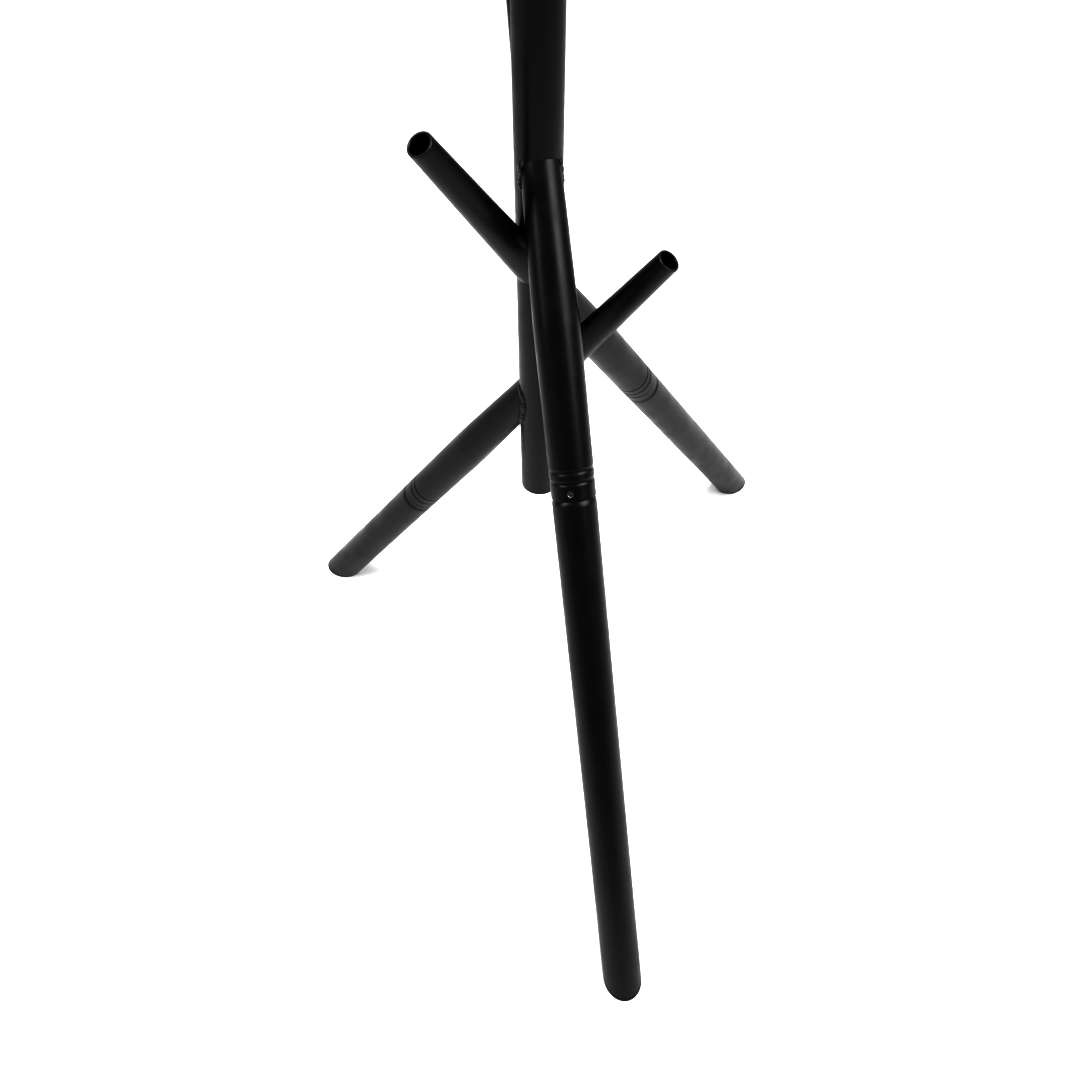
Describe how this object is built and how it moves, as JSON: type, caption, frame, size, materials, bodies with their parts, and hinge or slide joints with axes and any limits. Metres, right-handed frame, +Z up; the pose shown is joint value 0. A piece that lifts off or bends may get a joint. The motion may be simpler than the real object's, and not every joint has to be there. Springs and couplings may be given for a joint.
{
  "type": "coat stand",
  "caption": "Free-standing coat stand of round black steel tube: an upright pole crossed by slanted legs whose tapered upper ends make open arms, with further coat arms above.",
  "frame": {"origin": "the point of the floor straight under the pole's axis", "axes": "+Z up along the pole, -Y towards the front leg, +X to the right seen from the front"},
  "size_m": [0.4972, 0.5523, 1.7218],
  "materials": {
    "black_powder_coat": "satin powder coat, very fine orange peel",
    "black_plastic": "matt moulded, fine spark texture",
    "black_screw": "black oxide, bright wear in the socket",
    "zinc_nut": "bright zinc plate"
  },
  "bodies": {
    "root": {"pole_lower": "black_powder_coat", "pole_middle": "black_powder_coat", "pole_upper": "black_powder_coat", "pole_bottom_plug": "black_plastic", "pole_top_cap": "black_plastic", "arm_tube_front": "black_powder_coat", "arm_tube_right": "black_powder_coat", "arm_tube_left": "black_powder_coat", "leg_front": "black_powder_coat", "leg_right": "black_powder_coat", "leg_left": "black_powder_coat", "foot_plug_front": "black_plastic", "foot_plug_right": "black_plastic", "foot_plug_left": "black_plastic", "coat_arm_1": "black_powder_coat", "coat_arm_2": "black_powder_coat", "coat_arm_3": "black_powder_coat", "coat_arm_4": "black_powder_coat", "coat_arm_5": "black_powder_coat", "coat_arm_6": "black_powder_coat", "leg_screws": "black_screw", "leg_nuts": "zinc_nut", "pole_screws": "black_screw", "pole_nuts": "zinc_nut"}
  },
  "joints": []
}
